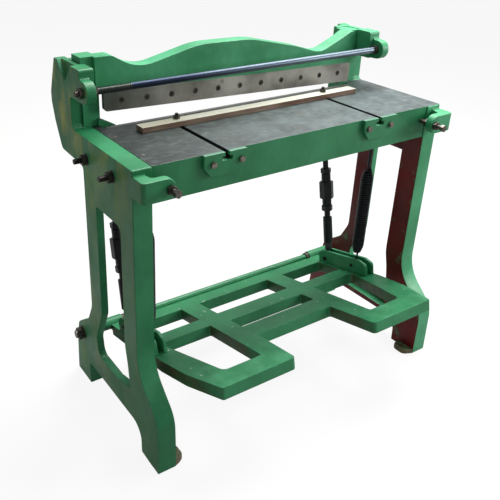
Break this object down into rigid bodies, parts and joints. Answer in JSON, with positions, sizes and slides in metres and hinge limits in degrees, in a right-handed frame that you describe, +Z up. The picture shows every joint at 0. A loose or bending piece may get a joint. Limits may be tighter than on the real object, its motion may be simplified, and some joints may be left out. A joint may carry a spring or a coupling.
{
  "type": "treadle shear",
  "caption": "Foot-operated guillotine shear for sheet metal: cast side frames, slotted table, raking blade in a sliding crosshead, treadle, turnbuckle links and return springs.",
  "frame": {"origin": "on the floor, under the centre of the overall footprint", "axes": "+X along the blades to the right as seen by the operator, +Y to the rear, +Z up"},
  "size_m": [1.19, 0.7166, 1.0924],
  "materials": {
    "frame_paint": "brushed-on machine enamel over a rough casting",
    "bed_paint": "machine enamel on the apron, bare planed iron on the table",
    "beam_paint": "machine enamel",
    "treadle_paint": "worn machine enamel",
    "blade_steel": "ground, dulled",
    "bolt_steel": "dull oiled steel",
    "bright_steel": "turned steel",
    "gauge_steel": "planed steel bar with a brown film on its front",
    "link_black": "black enamel",
    "spring_steel": "black enamel on spring wire"
  },
  "bodies": {
    "machine": {"right_side_frame": "frame_paint", "left_side_frame": "frame_paint", "bed": "bed_paint", "slot_pads": "bed_paint", "slot_pad_bolts": "bolt_steel", "lower_blade": "blade_steel", "lower_blade_bolts": "bolt_steel", "bed_top_screws": "bolt_steel", "bed_studs": "bolt_steel", "bed_stud_washers": "bolt_steel", "bed_stud_nuts": "bolt_steel", "tie_rod": "bright_steel", "tie_rod_nuts": "bolt_steel", "pivot_shaft": "bolt_steel", "shaft_washers": "bolt_steel", "shaft_nuts": "bolt_steel", "shaft_collars": "bolt_steel", "adjuster_locknuts": "bolt_steel", "spring_anchors": "link_black", "spring_anchor_nuts": "bolt_steel", "right_return_spring": "spring_steel", "left_return_spring": "spring_steel"},
    "gauge": {"gauge_bar": "gauge_steel", "gauge_t_bolts": "bolt_steel", "gauge_washers": "bolt_steel", "gauge_nuts": "bolt_steel"},
    "crosshead": {"upper_beam": "beam_paint", "upper_blade": "blade_steel", "upper_blade_bolts": "bolt_steel", "upper_link_pins": "bolt_steel"},
    "treadle": {"treadle_frame": "treadle_paint", "bracket_plates": "treadle_paint", "lower_link_pins": "bolt_steel", "spring_pins": "bolt_steel"},
    "spring_hooks": {"spring_eyes": "link_black"},
    "right_link": {"right_upper_link_rod": "link_black", "right_link_locknuts": "link_black", "right_lower_link_rod": "link_black"},
    "left_link": {"left_upper_link_rod": "link_black", "left_link_locknuts": "link_black", "left_lower_link_rod": "link_black"},
    "right_sleeve": {"right_turnbuckle": "link_black"},
    "left_sleeve": {"left_turnbuckle": "link_black"},
    "right_screw": {"right_adjusting_screw": "bolt_steel"},
    "left_screw": {"left_adjusting_screw": "bolt_steel"}
  },
  "joints": [
    {"name": "treadle_pivot", "type": "hinge", "parent": "machine", "child": "treadle", "pos_m": [0, 0.24028, 0.182], "axis": [1, 0, 0], "range_deg": [0, 25], "stiffness_Nm_per_rad": 150, "springref_deg": -114.59, "deforming": ["right_return_spring", "left_return_spring"]},
    {"name": "beam_slide", "type": "slide", "parent": "machine", "child": "crosshead", "axis": [0, 0, -1], "range_m": [0, 0.046]},
    {"name": "spring_hook_turn", "type": "hinge", "parent": "treadle", "child": "spring_hooks", "pos_m": [0, 0.00504, 0.26167], "axis": [-1, 0, 0], "range_deg": [0, 26.5]},
    {"name": "right_link_swing", "type": "hinge", "parent": "crosshead", "child": "right_link", "pos_m": [0.436, 0.25328, 0.79], "axis": [-1, 0, 0], "range_deg": [0, 1.1]},
    {"name": "right_turnbuckle_turn", "type": "hinge", "parent": "right_link", "child": "right_sleeve", "pos_m": [0.436, 0.19415, 0.49317], "axis": [0, 0.1953, 0.9807], "continuous": true},
    {"name": "right_adjuster_turn", "type": "hinge", "parent": "machine", "child": "right_screw", "pos_m": [0.478, -0.19872, 0.85], "axis": [0, 1, 0], "continuous": true},
    {"name": "left_link_swing", "type": "hinge", "parent": "crosshead", "child": "left_link", "pos_m": [-0.436, 0.25328, 0.79], "axis": [-1, 0, 0], "range_deg": [0, 1.1]},
    {"name": "left_turnbuckle_turn", "type": "hinge", "parent": "left_link", "child": "left_sleeve", "pos_m": [-0.436, 0.19415, 0.49317], "axis": [0, 0.1953, 0.9807], "continuous": true},
    {"name": "left_adjuster_turn", "type": "hinge", "parent": "machine", "child": "left_screw", "pos_m": [-0.478, -0.19872, 0.85], "axis": [0, 1, 0], "continuous": true},
    {"name": "gauge_slide", "type": "slide", "parent": "machine", "child": "gauge", "axis": [0, 1, 0], "range_m": [-0.215, 0.018]}
  ],
  "couplings": [
    {"joint": "beam_slide", "follows": "treadle_pivot", "m_per_rad": 0.1054},
    {"joint": "spring_hook_turn", "follows": "treadle_pivot", "ratio": 1.056},
    {"joint": "right_link_swing", "follows": "treadle_pivot", "ratio": 0.04},
    {"joint": "left_link_swing", "follows": "treadle_pivot", "ratio": 0.04}
  ]
}
